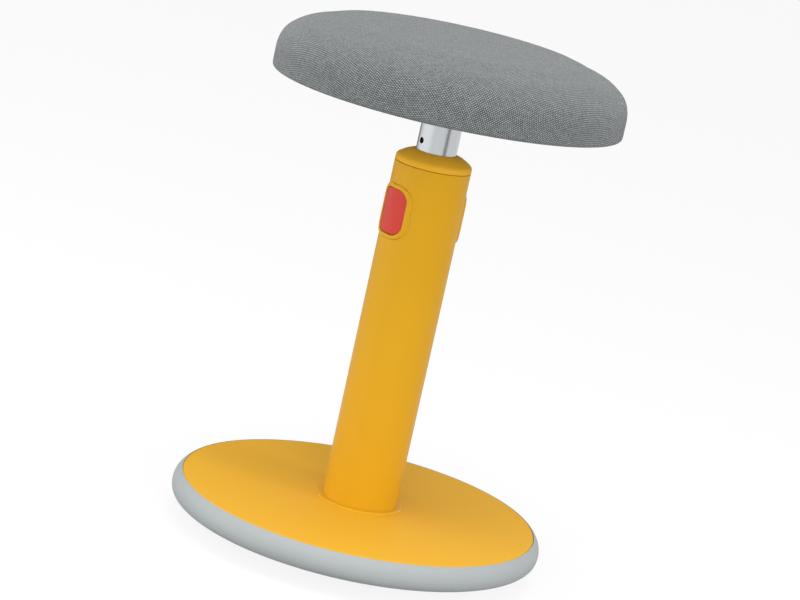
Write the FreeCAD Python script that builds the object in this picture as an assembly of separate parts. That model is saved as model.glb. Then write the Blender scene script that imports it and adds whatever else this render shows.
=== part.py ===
import FreeCAD, Part
import math
import os

# Wobble stool. Millimetres, +Z up, origin on the floor under the middle of the base.
# The buttons are on the X axis, and the right one is at +X.

V = FreeCAD.Vector
UP = V(0, 0, 1)

# Clearances
SEAM = 0.3
SLIDE_GAP = 0.3
RUN_FIT = 0.08

# Base: domed rubber sole, core, ballast and cover
BASE_RADIUS = 185.0
RIM_STEP = 7.7
RIM_WIDEST_DROP = 14.2
RIM_LOWER_DROP = 27.3
RIM_LOWER_INSET = 15.3
RIM_RUNOUT_INSET = 35.0
RIM_RUNOUT_RISE = 4.8
RIM_WALL = 17.0
RIM_CORNER_RISE = 8.0
DOME_RADIUS = 900.0
REST_RADIUS = 55.0
SOLE_WALL = 4.0
LEDGE_DROP = 4.4
CORE_WALL = 4.0
CORE_RIB = 3.0
CORE_RIB_COUNT = 12
CORE_HUB_GAP = 4.0
RIB_CLEAR = 16.0
BALLAST_GAP = 4.0
BALLAST_THICKNESS = 8.0
COVER_WALL = 3.5
COVER_EDGE_ROUND = 1.0
COVER_EDGE_WIDTH = 12.0
COVER_RING_WIDTH = 16.0
COVER_RING_INSET = 2.2
COVER_SCREW_INSET = 28.0
COVER_SCREW_COUNT = 6
COVER_SCREW_RADIUS = 2.0
COVER_SCREW_LENGTH = 16.0
COVER_SCREW_HEAD_RADIUS = 4.0
COVER_SCREW_HEAD_HEIGHT = 4.0
COVER_POST_RADIUS = 6.0
CORE_PAD_RADIUS = 8.0
CORE_PAD_RISE = 9.0
SOCKET_SHARE = 0.55
SOCKET_FLOOR_SHARE = 0.4

# Column: tube with a foot flange, collar and cap
COLUMN_RADIUS = 37.5
COLUMN_WALL = 4.0
COLUMN_HEIGHT = 343.7
FLANGE_RADIUS = 62.0
FLANGE_THICKNESS = 8.0
FLANGE_BOLT_CIRCLE = 50.0
FLANGE_BOLT_COUNT = 6
BOLT_RADIUS = 3.0
BOLT_HEAD_RADIUS = 5.0
BOLT_HEAD_HEIGHT = 5.5
BOLT_CLEARANCE = 0.2
COLLAR_WIDTH = 6.0
COLLAR_HEIGHT = 2.2
COLLAR_ROUND = 1.8
SEAM_HEIGHT = 0.7
SEAM_DEPTH = 0.9
CAP_RISE = 14.0
CAP_BAND = 3.0
CAP_SHOULDER = 4.5
CAP_SHOULDER_TURN = 52.0
CAP_WALL = 3.0
CAP_HOLE_GAP = 0.4
CAP_SPIGOT_WALL = 3.0
LEDGE_DEPTH = 6.7
LEDGE_STEP = 1.5

# Post with its bushes
POST_RADIUS = 20.0
POST_WALL = 2.0
POST_TAIL = 89.0
HOLE_RADIUS = 3.1
HOLE_PITCH = 35.0
HOLE_COUNT = 7
TOP_HOLE_RISE = 9.6
LOWER_BUSH_HEIGHT = 22.0
UPPER_BUSH_WALL = 6.0
UPPER_BUSH_HEIGHT = 12.5
RIVET_RADIUS = 1.6
RIVET_LENGTH = 9.0

# Lock: buttons, bezels, plates, springs and their housing
BUTTON_DROP = 47.7
BUTTON_HEIGHT = 44.0
BUTTON_WIDTH = 35.0
BUTTON_CORNER = 11.0
BUTTON_PROUD = 1.0
BUTTON_GAP = 0.5
BUTTON_FACE = 4.0
BUTTON_SIDE = 3.5
BUTTON_LIP = 1.5
BUTTON_LIP_WALL = 2.0
BUTTON_LIP_GAP = 0.4
BUTTON_POCKET_GAP = 1.5
BUTTON_EDGE = 0.9
BUTTON_TRAVEL = 3.0
BEZEL_FRAME = 4.6
BEZEL_PROUD = 2.0
BEZEL_EDGE = 1.7
BEZEL_LIP_ROUND = 0.6
BEZEL_PLUG_INSET = 2.2
HOUSING_GUIDE_WALL = 2.6
HOUSING_RING_WALL = 1.9
HOUSING_FLANGE = 4.0
HOUSING_FOOT_DROP = 2.0
PLATE_THICKNESS = 3.0
PLATE_STEP = 7.0
PLATE_BRIDGE = 2.6
PLATE_BORE_GAP = 0.6
TONGUE_WIDTH = 4.6
TONGUE_LENGTH = 3.0
TAIL_WIDTH = 16.0
TAIL_THICKNESS = 2.5
TAIL_INSET = 1.4
TAIL_FOOT_DROP = 4.0
TAIL_SCREW_RISE = 4.0
BOSS_WIDTH = 13.0
BOSS_HEIGHT = 14.0
SMALL_SCREW_RADIUS = 1.25
SMALL_SCREW_HEAD_RADIUS = 2.6
SMALL_SCREW_HEAD_HEIGHT = 1.8
SMALL_SCREW_LENGTH = 6.0
SPRING_RADIUS = 3.6
SPRING_WIRE = 0.9
SPRING_TURNS = 5
SPRING_DROP = 14.0

# Seat: hub, board, foam and cover
SEAT_GAP = 50.4
SEAT_RADIUS = 171.8
SEAT_SIDE = 18.5
SEAT_SHOULDER = 37.0
SEAT_CROWN_SLOPE = 7.1
SEAT_LOWER_ROUND = 3.0
COVER_CLOTH = 1.5
HEM_WIDTH = 22.0
FOAM_GAP = 0.3
BOARD_INSET = 8.8
BOARD_THICKNESS = 12.0
BOARD_RISE = 1.9
HUB_RADIUS = 60.0
HUB_THICKNESS = 6.0
HUB_COLLAR_WALL = 6.0
HUB_COLLAR_HEIGHT = 10.0
HUB_BOLT_CIRCLE = 45.0
HUB_BOLT_COUNT = 4
HUB_BOLT_LENGTH = 20.0
HUB_BOLT_HEAD_HEIGHT = 4.5
TEE_FLANGE_RADIUS = 10.0
TEE_FLANGE_THICKNESS = 1.5
TEE_BARREL_WALL = 1.5
TEE_BARREL_LENGTH = 9.0
CROSS_PIN_RADIUS = 3.0
DUST_THICKNESS = 0.8
DUST_GAP = 2.0

# Base levels
disc_radius = BASE_RADIUS - RIM_STEP
dome_centre = math.sqrt(DOME_RADIUS ** 2 - REST_RADIUS ** 2)


def dome_z(radius, inset=0.0):
    """Height of the sole's dome, or of a face that lies inset above it."""
    return dome_centre - math.sqrt((DOME_RADIUS - inset) ** 2 - radius ** 2)


runout_radius = BASE_RADIUS - RIM_RUNOUT_INSET
rim_lower_z = dome_z(runout_radius) + RIM_RUNOUT_RISE
disc_z = rim_lower_z + RIM_LOWER_DROP
rim_widest_z = disc_z - RIM_WIDEST_DROP
ledge_z = disc_z - LEDGE_DROP
cover_under_z = disc_z - COVER_WALL
rim_inner_radius = BASE_RADIUS - RIM_WALL
cover_screw_circle = rim_inner_radius - COVER_SCREW_INSET
ballast_radius = cover_screw_circle - CORE_PAD_RADIUS - BALLAST_GAP
core_hub_radius = FLANGE_RADIUS + CORE_HUB_GAP
ballast_z = RIB_CLEAR + SOLE_WALL
flange_z = ballast_z + BALLAST_THICKNESS
flange_top_z = flange_z + FLANGE_THICKNESS

# Column levels
bore_radius = COLUMN_RADIUS - COLUMN_WALL
seam_z = disc_z + COLUMN_HEIGHT
column_top_z = seam_z - SEAM_HEIGHT / 2
cap_bottom_z = seam_z + SEAM_HEIGHT / 2
cap_top_z = seam_z + CAP_RISE
housing_seat_z = seam_z - LEDGE_DEPTH
housing_top_z = housing_seat_z + HOUSING_FLANGE
ledge_radius = bore_radius + LEDGE_STEP

# Lock levels
top_hole_z = cap_top_z + TOP_HOLE_RISE
right_plate_z = top_hole_z - HOLE_PITCH
left_plate_z = right_plate_z - PLATE_STEP
button_z = seam_z - BUTTON_DROP
post_bottom_z = top_hole_z - HOLE_PITCH * (HOLE_COUNT - 1) - POST_TAIL
housing_radius = bore_radius - SLIDE_GAP
guide_half = housing_radius - HOUSING_GUIDE_WALL
housing_bore = POST_RADIUS + PLATE_BORE_GAP
housing_ring = housing_bore + HOUSING_RING_WALL
button_face_radius = COLUMN_RADIUS + BUTTON_PROUD
button_back_radius = button_face_radius - BUTTON_FACE
lip_radius = bore_radius - BUTTON_LIP_GAP
lip_back_radius = lip_radius - BUTTON_LIP_WALL
housing_foot_z = button_z - BUTTON_HEIGHT / 2 - BUTTON_LIP - HOUSING_FOOT_DROP
tail_back = bore_radius - TAIL_INSET
tail_front = tail_back - TAIL_THICKNESS
tail_foot_z = button_z - TAIL_FOOT_DROP
tail_screw_z = button_z + TAIL_SCREW_RISE
spring_z = button_z - SPRING_DROP

# Seat levels
seat_z = cap_top_z + SEAT_GAP
board_radius = SEAT_RADIUS - BOARD_INSET
board_z = seat_z + BOARD_RISE
board_top_z = board_z + BOARD_THICKNESS
hub_z = board_z - HUB_THICKNESS
collar_z = hub_z - HUB_COLLAR_HEIGHT
cross_pin_z = collar_z + HUB_COLLAR_HEIGHT / 2


def save(node, shape):
    """Write one node; a group of like pieces is a list of solids."""
    if isinstance(shape, list):
        shape = Part.makeCompound(shape)
    shape.exportStep("parts/" + node + ".step")


def at(radius, z):
    return V(radius, 0, z)


def path(*points):
    """Straight edges through points."""
    return [Part.LineSegment(a, b).toShape() for a, b in zip(points, points[1:])]


def tangent_arc(start, direction, end):
    """Arc that leaves start along direction and stops at end."""
    chord = end - start
    bow = direction - chord * (direction.dot(chord) / chord.dot(chord))
    bow.normalize()
    rise = chord.Length / 2 * math.tan(direction.getAngle(chord) / 2)
    middle = (start + end) * 0.5 + bow * rise
    return Part.Arc(start, middle, end).toShape()


def dome_arc(inner, outer, inset=0.0):
    """Arc of the dome from one radius to another."""
    middle = (inner + outer) / 2
    radii = (inner, middle, outer)
    return Part.Arc(*[at(r, dome_z(r, inset)) for r in radii]).toShape()


def spin(edges):
    """Solid of revolution about Z from a closed set of edges in the XZ plane."""
    wire = Part.Wire(Part.__sortEdges__(edges))
    return Part.Face(wire).revolve(V(0, 0, 0), UP, 360)


def disc(radius, low, high, x=0.0, y=0.0):
    return Part.makeCylinder(radius, high - low, V(x, y, low))


def ring(inner, outer, low, high):
    return disc(outer, low, high).cut(disc(inner, low - 1, high + 1))


def rod_x(radius, start, end, z):
    return Part.makeCylinder(radius, end - start, V(start, 0, z), V(1, 0, 0))


def rod_y(radius, start, end, z):
    return Part.makeCylinder(radius, end - start, V(0, start, z), V(0, 1, 0))


def block(x0, x1, half_y, z0, z1):
    return Part.makeBox(x1 - x0, 2 * half_y, z1 - z0, V(x0, -half_y, z0))


def pad(width, height, corner, x0, x1, z_mid):
    """Block along X whose four long edges are rounded."""
    body = block(x0, x1, width / 2, z_mid - height / 2, z_mid + height / 2)
    long_edges = [e for e in body.Edges if abs(e.tangentAt(e.FirstParameter).x) > 0.99]
    return body.makeFillet(corner, long_edges)


def edges_on_radius(shape, radius):
    """Edges of shape that lie wholly on the cylinder of this radius about Z."""
    found = []
    for edge in shape.Edges:
        points = edge.discretize(5)
        if all(abs(math.hypot(p.x, p.y) - radius) < 0.01 for p in points):
            found.append(edge)
    return found


def around(count, radius, turn=0.0):
    """Points evenly spaced on a circle about Z."""
    angles = [math.radians(turn + 360.0 * k / count) for k in range(count)]
    return [(radius * math.cos(a), radius * math.sin(a)) for a in angles]


def hexagon(radius, low, high, x=0.0, y=0.0):
    corners = [V(x + px, y + py, low) for px, py in around(6, radius)]
    wire = Part.makePolygon(corners + corners[:1])
    return Part.Face(wire).extrude(V(0, 0, high - low))


def screw(head_radius, head_height, radius, length, z, x, y):
    """Screw pointing up, whose head stands below the level z and has a hexagon socket."""
    head = disc(head_radius, z - head_height, z, x, y)
    floor_z = z - head_height * SOCKET_FLOOR_SHARE
    socket = hexagon(head_radius * SOCKET_SHARE, z - head_height, floor_z, x, y)
    return head.cut(socket).fuse(disc(radius, z, z + length, x, y)).removeSplitter()


def mirrored(shape):
    return shape.mirror(V(0, 0, 0), V(1, 0, 0))


# Base pieces


def make_base_sole():
    """Rubber sole: a shallow dome with a flat middle, turned up into the thick rim."""
    rest_edge = at(REST_RADIUS, 0)
    runout = at(runout_radius, dome_z(runout_radius))
    lower = at(BASE_RADIUS - RIM_LOWER_INSET, rim_lower_z)
    widest = at(BASE_RADIUS, rim_widest_z)
    top = at(disc_radius, disc_z)
    slope = math.asin(runout_radius / DOME_RADIUS)
    roll = Part.BSplineCurve()
    roll.interpolate(
        Points=[runout, lower, widest],
        InitialTangent=at(math.cos(slope), math.sin(slope)),
        FinalTangent=at(0, 1),
    )
    inner_runout = runout_radius - SOLE_WALL
    inner_z = dome_z(inner_runout, SOLE_WALL)
    wall_foot = at(rim_inner_radius, inner_z + RIM_CORNER_RISE)
    edges = path(at(0, 0), rest_edge)
    edges.append(dome_arc(REST_RADIUS, runout_radius))
    edges.append(roll.toShape())
    edges.append(tangent_arc(widest, at(0, 1), top))
    edges += path(
        top,
        at(disc_radius, ledge_z),
        at(rim_inner_radius, ledge_z),
        wall_foot,
        at(inner_runout, inner_z),
    )
    edges.append(dome_arc(0, inner_runout, SOLE_WALL))
    edges += path(at(0, dome_z(0, SOLE_WALL)), at(0, 0))
    return spin(edges)


def core_envelope(top_z, inset):
    """Solid under top_z whose underside follows the core's underside at this inset."""
    edge = runout_radius - inset
    outer = rim_inner_radius - SEAM - (inset - core_inset)
    edge_z = dome_z(edge, inset)
    edges = [dome_arc(0, edge, inset)]
    edges += path(
        at(edge, edge_z),
        at(outer, edge_z + RIM_CORNER_RISE),
        at(outer, top_z),
        at(0, top_z),
        at(0, dome_z(0, inset)),
    )
    return spin(edges)


core_inset = SOLE_WALL + SEAM
core_top_z = ledge_z - SEAM
pad_under_z = dome_z(cover_screw_circle + COVER_SCREW_HEAD_RADIUS, core_inset)
pad_top_z = pad_under_z + CORE_PAD_RISE
screw_seat_z = pad_under_z + COVER_SCREW_HEAD_HEIGHT + SEAM


def make_base_core():
    """Dished moulding with radial ribs, a hub ring and pads for the cover's screws."""
    outside = core_envelope(core_top_z, core_inset)
    core = outside.cut(core_envelope(core_top_z + 1, core_inset + CORE_WALL))
    ribs = ring(core_hub_radius - CORE_WALL, core_hub_radius, 0, ballast_z)
    reach = rim_inner_radius - CORE_WALL
    for k in range(CORE_RIB_COUNT):
        rib = block(core_hub_radius - 1, reach, CORE_RIB / 2, 0, ballast_z)
        rib.rotate(V(0, 0, 0), UP, 360.0 * (k + 0.5) / CORE_RIB_COUNT)
        ribs = ribs.fuse(rib)
    for x, y in around(COVER_SCREW_COUNT, cover_screw_circle):
        ribs = ribs.fuse(disc(CORE_PAD_RADIUS, 0, pad_top_z, x, y))
    core = core.fuse(ribs.common(outside))
    for x, y in around(COVER_SCREW_COUNT, cover_screw_circle):
        core = core.cut(disc(COVER_SCREW_HEAD_RADIUS + BOLT_CLEARANCE, 0, screw_seat_z, x, y))
        core = core.cut(disc(COVER_SCREW_RADIUS + BOLT_CLEARANCE, 0, disc_z, x, y))
    return core.removeSplitter()


def make_ballast_plate():
    plate = disc(ballast_radius, ballast_z, flange_z)
    for x, y in around(FLANGE_BOLT_COUNT, FLANGE_BOLT_CIRCLE):
        plate = plate.cut(disc(BOLT_RADIUS + BOLT_CLEARANCE, ballast_z - 1, flange_z + 1, x, y))
    return plate


def make_base_cover():
    """Yellow disc with posts for its screws and a ring that presses on the column's flange."""
    hole = COLUMN_RADIUS + SEAM
    edge = disc_radius - SEAM
    cover = ring(hole, edge, cover_under_z, disc_z)
    cover = cover.fuse(ring(edge - COVER_EDGE_WIDTH, edge, ledge_z, disc_z))
    press_outer = FLANGE_RADIUS - COVER_RING_INSET
    cover = cover.fuse(
        ring(press_outer - COVER_RING_WIDTH, press_outer, flange_top_z, cover_under_z + 1)
    )
    for x, y in around(COVER_SCREW_COUNT, cover_screw_circle):
        cover = cover.fuse(disc(COVER_POST_RADIUS, pad_top_z, cover_under_z + 1, x, y))
    screw_end = screw_seat_z + COVER_SCREW_LENGTH
    for x, y in around(COVER_SCREW_COUNT, cover_screw_circle):
        cover = cover.cut(disc(COVER_SCREW_RADIUS, pad_top_z - 1, screw_end, x, y))
    cover = cover.removeSplitter()
    rim = [e for e in edges_on_radius(cover, edge) if abs(e.CenterOfMass.z - disc_z) < 0.01]
    return cover.makeFillet(COVER_EDGE_ROUND, [e for e in rim if len(e.Vertexes) == 1])


def make_cover_screws():
    spots = around(COVER_SCREW_COUNT, cover_screw_circle)
    sizes = (COVER_SCREW_HEAD_RADIUS, COVER_SCREW_HEAD_HEIGHT, COVER_SCREW_RADIUS)
    return [screw(*sizes, COVER_SCREW_LENGTH, screw_seat_z, x, y) for x, y in spots]


def make_column_bolts():
    spots = around(FLANGE_BOLT_COUNT, FLANGE_BOLT_CIRCLE)
    sizes = (BOLT_HEAD_RADIUS, BOLT_HEAD_HEIGHT, BOLT_RADIUS)
    length = flange_top_z - ballast_z - SEAM
    return [screw(*sizes, length, ballast_z, x, y) for x, y in spots]


# Column pieces


def make_foot_collar():
    inner = COLUMN_RADIUS + SEAM / 2
    outer = inner + COLLAR_WIDTH
    collar = ring(inner, outer, disc_z, disc_z + COLLAR_HEIGHT)
    top = [e for e in edges_on_radius(collar, outer) if e.CenterOfMass.z > disc_z + 1]
    return collar.makeFillet(COLLAR_ROUND, [e for e in top if len(e.Vertexes) == 1])


def make_column_tube():
    """Tube with a foot flange, a window for each button and a ledge near its top."""
    tube = ring(bore_radius, COLUMN_RADIUS, flange_z, column_top_z)
    tube = tube.fuse(ring(bore_radius, FLANGE_RADIUS, flange_z, flange_top_z))
    for x, y in around(FLANGE_BOLT_COUNT, FLANGE_BOLT_CIRCLE):
        tube = tube.cut(disc(BOLT_RADIUS + BOLT_CLEARANCE, flange_z - 1, flange_top_z + 1, x, y))
    tube = tube.cut(disc(ledge_radius, housing_seat_z, column_top_z + 1))
    inset = 2 * BEZEL_PLUG_INSET
    width = BUTTON_WIDTH + 2 * BEZEL_FRAME - inset + SEAM
    height = BUTTON_HEIGHT + 2 * BEZEL_FRAME - inset + SEAM
    corner = BUTTON_CORNER + BEZEL_FRAME - BEZEL_PLUG_INSET
    window = pad(width, height, corner, 0, COLUMN_RADIUS + 1, button_z)
    return tube.cut(window).cut(mirrored(window)).removeSplitter()


def make_column_cap():
    """Cap with a short upright band, a rounded shoulder and a slope up to the post."""
    hole = POST_RADIUS + CAP_HOLE_GAP
    bush_outer = POST_RADIUS + UPPER_BUSH_WALL + BOLT_CLEARANCE
    band = at(COLUMN_RADIUS, seam_z + CAP_BAND)
    turn = math.radians(CAP_SHOULDER_TURN)
    shoulder = at(
        COLUMN_RADIUS - CAP_SHOULDER * (1 - math.cos(turn)),
        seam_z + CAP_BAND + CAP_SHOULDER * math.sin(turn),
    )
    brow = at(hole, cap_top_z)
    spigot = ledge_radius - BOLT_CLEARANCE
    inner = spigot - CAP_SPIGOT_WALL
    edges = path(at(hole, housing_top_z + UPPER_BUSH_HEIGHT + SEAM), brow)
    edges.append(tangent_arc(shoulder, at(-math.sin(turn), math.cos(turn)), brow))
    edges.append(tangent_arc(band, at(0, 1), shoulder))
    edges += path(
        band,
        at(COLUMN_RADIUS, cap_bottom_z),
        at(COLUMN_RADIUS - SEAM_DEPTH, cap_bottom_z),
        at(spigot, cap_bottom_z),
        at(spigot, housing_top_z),
        at(inner, housing_top_z),
        at(inner, seam_z + CAP_WALL),
        at(bush_outer, housing_top_z + UPPER_BUSH_HEIGHT - CAP_WALL),
        at(bush_outer, housing_top_z + UPPER_BUSH_HEIGHT + SEAM),
        at(hole, housing_top_z + UPPER_BUSH_HEIGHT + SEAM),
    )
    return spin(edges)


def make_upper_guide_bush():
    inner = POST_RADIUS + RUN_FIT
    return ring(inner, POST_RADIUS + UPPER_BUSH_WALL, housing_top_z, housing_top_z + UPPER_BUSH_HEIGHT)


# Lock pieces, each built on the +X side


def make_lock_housing():
    """Carrier that hangs on the column's ledge, with a pocket behind each button."""
    body = ring(housing_bore, housing_radius, housing_foot_z, housing_top_z)
    body = body.fuse(
        ring(housing_bore, ledge_radius - BOLT_CLEARANCE, housing_seat_z, housing_top_z)
    )
    low_slot = left_plate_z - PLATE_THICKNESS / 2 - SLIDE_GAP
    pocket_half = BUTTON_WIDTH / 2 + BUTTON_LIP + BUTTON_POCKET_GAP
    pocket = block(POST_RADIUS, COLUMN_RADIUS, pocket_half, housing_foot_z - 1, low_slot)
    pocket = pocket.cut(disc(housing_ring, housing_foot_z - 2, housing_top_z))
    for level in (left_plate_z, right_plate_z):
        low = level - PLATE_THICKNESS / 2 - SLIDE_GAP
        high = level + PLATE_THICKNESS / 2 + SLIDE_GAP
        body = body.cut(block(-COLUMN_RADIUS, COLUMN_RADIUS, guide_half, low, high))
    tail_way = block(
        tail_front - BUTTON_TRAVEL - SLIDE_GAP,
        COLUMN_RADIUS,
        TAIL_WIDTH / 2 + SLIDE_GAP,
        low_slot,
        right_plate_z,
    )
    body = body.cut(pocket).cut(mirrored(pocket)).cut(tail_way)
    return body.removeSplitter()


def make_bezel():
    """Raised surround of the button; its plug fills the column's window."""
    mid = button_z
    width = BUTTON_WIDTH + 2 * BEZEL_FRAME
    height = BUTTON_HEIGHT + 2 * BEZEL_FRAME
    corner = BUTTON_CORNER + BEZEL_FRAME
    proud = COLUMN_RADIUS + BEZEL_PROUD
    low = mid - height
    high = mid + height
    frame = pad(width, height, corner, 0, proud + 1, mid).common(
        ring(COLUMN_RADIUS, proud, low, high)
    )
    plug = pad(
        width - 2 * BEZEL_PLUG_INSET,
        height - 2 * BEZEL_PLUG_INSET,
        corner - BEZEL_PLUG_INSET,
        0,
        proud + 1,
        mid,
    ).common(ring(bore_radius, COLUMN_RADIUS, low, high))
    opening = pad(
        BUTTON_WIDTH + 2 * BUTTON_GAP,
        BUTTON_HEIGHT + 2 * BUTTON_GAP,
        BUTTON_CORNER + BUTTON_GAP,
        0,
        proud + 1,
        mid,
    )
    frame = frame.makeFillet(BEZEL_EDGE, edges_on_radius(frame, proud))
    bezel = frame.fuse(plug).removeSplitter().cut(opening)
    return bezel.makeFillet(BEZEL_LIP_ROUND, edges_on_radius(bezel, proud))


def make_button():
    """Hollow button with a lip behind the bezel and a boss for the lock plate's tail."""
    mid = button_z
    low = mid - BUTTON_HEIGHT
    high = mid + BUTTON_HEIGHT
    shaft = pad(BUTTON_WIDTH, BUTTON_HEIGHT, BUTTON_CORNER, 0, button_face_radius + 1, mid)
    shell = shaft.common(ring(lip_back_radius, button_face_radius, low, high))
    shell = shell.makeFillet(BUTTON_EDGE, edges_on_radius(shell, button_face_radius))
    lip_width = BUTTON_WIDTH + 2 * BUTTON_LIP
    lip_height = BUTTON_HEIGHT + 2 * BUTTON_LIP
    lip = pad(lip_width, lip_height, BUTTON_CORNER + BUTTON_LIP, 0, COLUMN_RADIUS, mid)
    shell = shell.fuse(lip.common(ring(lip_back_radius, lip_radius, low, high)))
    hollow = pad(
        BUTTON_WIDTH - 2 * BUTTON_SIDE,
        BUTTON_HEIGHT - 2 * BUTTON_SIDE,
        BUTTON_CORNER - BUTTON_SIDE,
        0,
        button_face_radius,
        mid,
    ).common(disc(button_back_radius, low, high))
    boss_half = BOSS_HEIGHT / 2
    boss = block(
        tail_back,
        button_back_radius + 1,
        BOSS_WIDTH / 2,
        tail_screw_z - boss_half,
        tail_screw_z + boss_half,
    )
    notch = block(0, tail_back, TAIL_WIDTH / 2 + SLIDE_GAP, button_z, high)
    hole = rod_x(SMALL_SCREW_RADIUS, 0, tail_front + SMALL_SCREW_LENGTH + SEAM, tail_screw_z)
    return shell.cut(hollow).fuse(boss).cut(notch).cut(hole).removeSplitter()


def make_lock_plate(level):
    """Plate round the post with a tongue at -X and a tail bent down to the button at +X."""
    low = level - PLATE_THICKNESS / 2
    high = level + PLATE_THICKNESS / 2
    far = housing_bore + PLATE_BRIDGE
    plate = disc(guide_half - SLIDE_GAP, low, high)
    plate = plate.common(block(-far, COLUMN_RADIUS, COLUMN_RADIUS, low, high))
    plate = plate.fuse(block(POST_RADIUS, tail_back, TAIL_WIDTH / 2, low, high))
    plate = plate.fuse(block(tail_front, tail_back, TAIL_WIDTH / 2, tail_foot_z, high))
    bore = disc(housing_bore, low - 1, high + 1)
    bore = bore.fuse(disc(housing_bore, low - 1, high + 1, BUTTON_TRAVEL))
    bore = bore.fuse(block(0, BUTTON_TRAVEL, housing_bore, low - 1, high + 1))
    plate = plate.cut(bore)
    tongue_tip = housing_bore - TONGUE_LENGTH
    tongue = block(-far + 1, -tongue_tip, TONGUE_WIDTH / 2, low, high)
    hole = rod_x(SMALL_SCREW_RADIUS + BOLT_CLEARANCE, tail_front - 1, tail_back + 1, tail_screw_z)
    return plate.fuse(tongue).cut(hole).removeSplitter()


def make_plate_screw():
    head_start = tail_front - SMALL_SCREW_HEAD_HEIGHT
    head = rod_x(SMALL_SCREW_HEAD_RADIUS, head_start, tail_front, tail_screw_z)
    shank = rod_x(SMALL_SCREW_RADIUS, tail_front, tail_front + SMALL_SCREW_LENGTH, tail_screw_z)
    return head.fuse(shank).removeSplitter()


def make_spring():
    """Coil spring along X between the housing's ring and the back of the button."""
    start = housing_ring + SPRING_WIRE / 2 + SEAM
    end = button_back_radius - SPRING_WIRE / 2 - SEAM
    length = end - start
    helix = Part.makeHelix(length / SPRING_TURNS, length, SPRING_RADIUS)
    profile = Part.makeCircle(SPRING_WIRE / 2, V(SPRING_RADIUS, 0, 0), V(0, 1, 0))
    coil = Part.Wire(helix).makePipeShell([Part.Wire(profile)], True, True)
    coil.rotate(V(0, 0, 0), V(0, 1, 0), 90)
    coil.translate(V(start, 0, spring_z))
    return coil


# Pieces that rise with the seat


def make_seat_post():
    """Aluminium tube with a row of index holes on each side and a hole for the cross pin."""
    post = ring(POST_RADIUS - POST_WALL, POST_RADIUS, post_bottom_z, board_z)
    reach = POST_RADIUS + 1
    for k in range(HOLE_COUNT):
        drop = HOLE_PITCH * k
        post = post.cut(rod_x(HOLE_RADIUS, -reach, 0, top_hole_z - drop))
        post = post.cut(rod_x(HOLE_RADIUS, 0, reach, top_hole_z - PLATE_STEP - drop))
    post = post.cut(rod_y(CROSS_PIN_RADIUS, -reach, reach, cross_pin_z))
    return post.cut(rod_y(RIVET_RADIUS, -reach, reach, post_bottom_z + LOWER_BUSH_HEIGHT / 2))


def make_lower_glide_bush():
    top = post_bottom_z + LOWER_BUSH_HEIGHT
    bush = ring(POST_RADIUS, bore_radius - RUN_FIT, post_bottom_z, top)
    reach = POST_RADIUS + RIVET_LENGTH - POST_WALL
    return bush.cut(rod_y(RIVET_RADIUS, -reach, reach, post_bottom_z + LOWER_BUSH_HEIGHT / 2))


def make_bush_rivets():
    level = post_bottom_z + LOWER_BUSH_HEIGHT / 2
    start = POST_RADIUS - POST_WALL
    return [
        rod_y(RIVET_RADIUS, start, start + RIVET_LENGTH, level),
        rod_y(RIVET_RADIUS, -start - RIVET_LENGTH, -start, level),
    ]


def make_seat_hub():
    """Flange under the board with a collar for the post."""
    hub = disc(HUB_RADIUS, hub_z, board_z)
    hub = hub.fuse(disc(POST_RADIUS + HUB_COLLAR_WALL, collar_z, hub_z))
    hub = hub.cut(disc(POST_RADIUS, collar_z - 1, board_z + 1)).removeSplitter()
    for x, y in around(HUB_BOLT_COUNT, HUB_BOLT_CIRCLE, 45):
        hub = hub.cut(disc(BOLT_RADIUS + BOLT_CLEARANCE, hub_z - 1, board_z + 1, x, y))
    reach = POST_RADIUS + HUB_COLLAR_WALL + 1
    return hub.cut(rod_y(CROSS_PIN_RADIUS, -reach, reach, cross_pin_z))


def make_hub_cross_pin():
    reach = POST_RADIUS + HUB_COLLAR_WALL
    return rod_y(CROSS_PIN_RADIUS, -reach, reach, cross_pin_z)


def make_hub_bolts():
    spots = around(HUB_BOLT_COUNT, HUB_BOLT_CIRCLE, 45)
    sizes = (BOLT_HEAD_RADIUS, HUB_BOLT_HEAD_HEIGHT, BOLT_RADIUS)
    return [screw(*sizes, HUB_BOLT_LENGTH, hub_z, x, y) for x, y in spots]


def make_board_tee_nuts():
    nuts = []
    for x, y in around(HUB_BOLT_COUNT, HUB_BOLT_CIRCLE, 45):
        nut = disc(TEE_FLANGE_RADIUS, board_top_z, board_top_z + TEE_FLANGE_THICKNESS, x, y)
        barrel = BOLT_RADIUS + TEE_BARREL_WALL
        nut = nut.fuse(disc(barrel, board_top_z - TEE_BARREL_LENGTH, board_top_z, x, y))
        bolt_way = disc(BOLT_RADIUS, board_z, board_top_z + TEE_FLANGE_THICKNESS + 1, x, y)
        nuts.append(nut.cut(bolt_way).removeSplitter())
    return nuts


def make_seat_board():
    board = disc(board_radius, board_z, board_top_z)
    for x, y in around(HUB_BOLT_COUNT, HUB_BOLT_CIRCLE, 45):
        board = board.cut(disc(BOLT_RADIUS + TEE_BARREL_WALL, board_z - 1, board_top_z + 1, x, y))
    return board


def make_seat_dust_cover():
    outer = SEAT_RADIUS - HEM_WIDTH - DUST_GAP / 2
    return ring(HUB_RADIUS + DUST_GAP, outer, board_z - DUST_THICKNESS, board_z)


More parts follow.
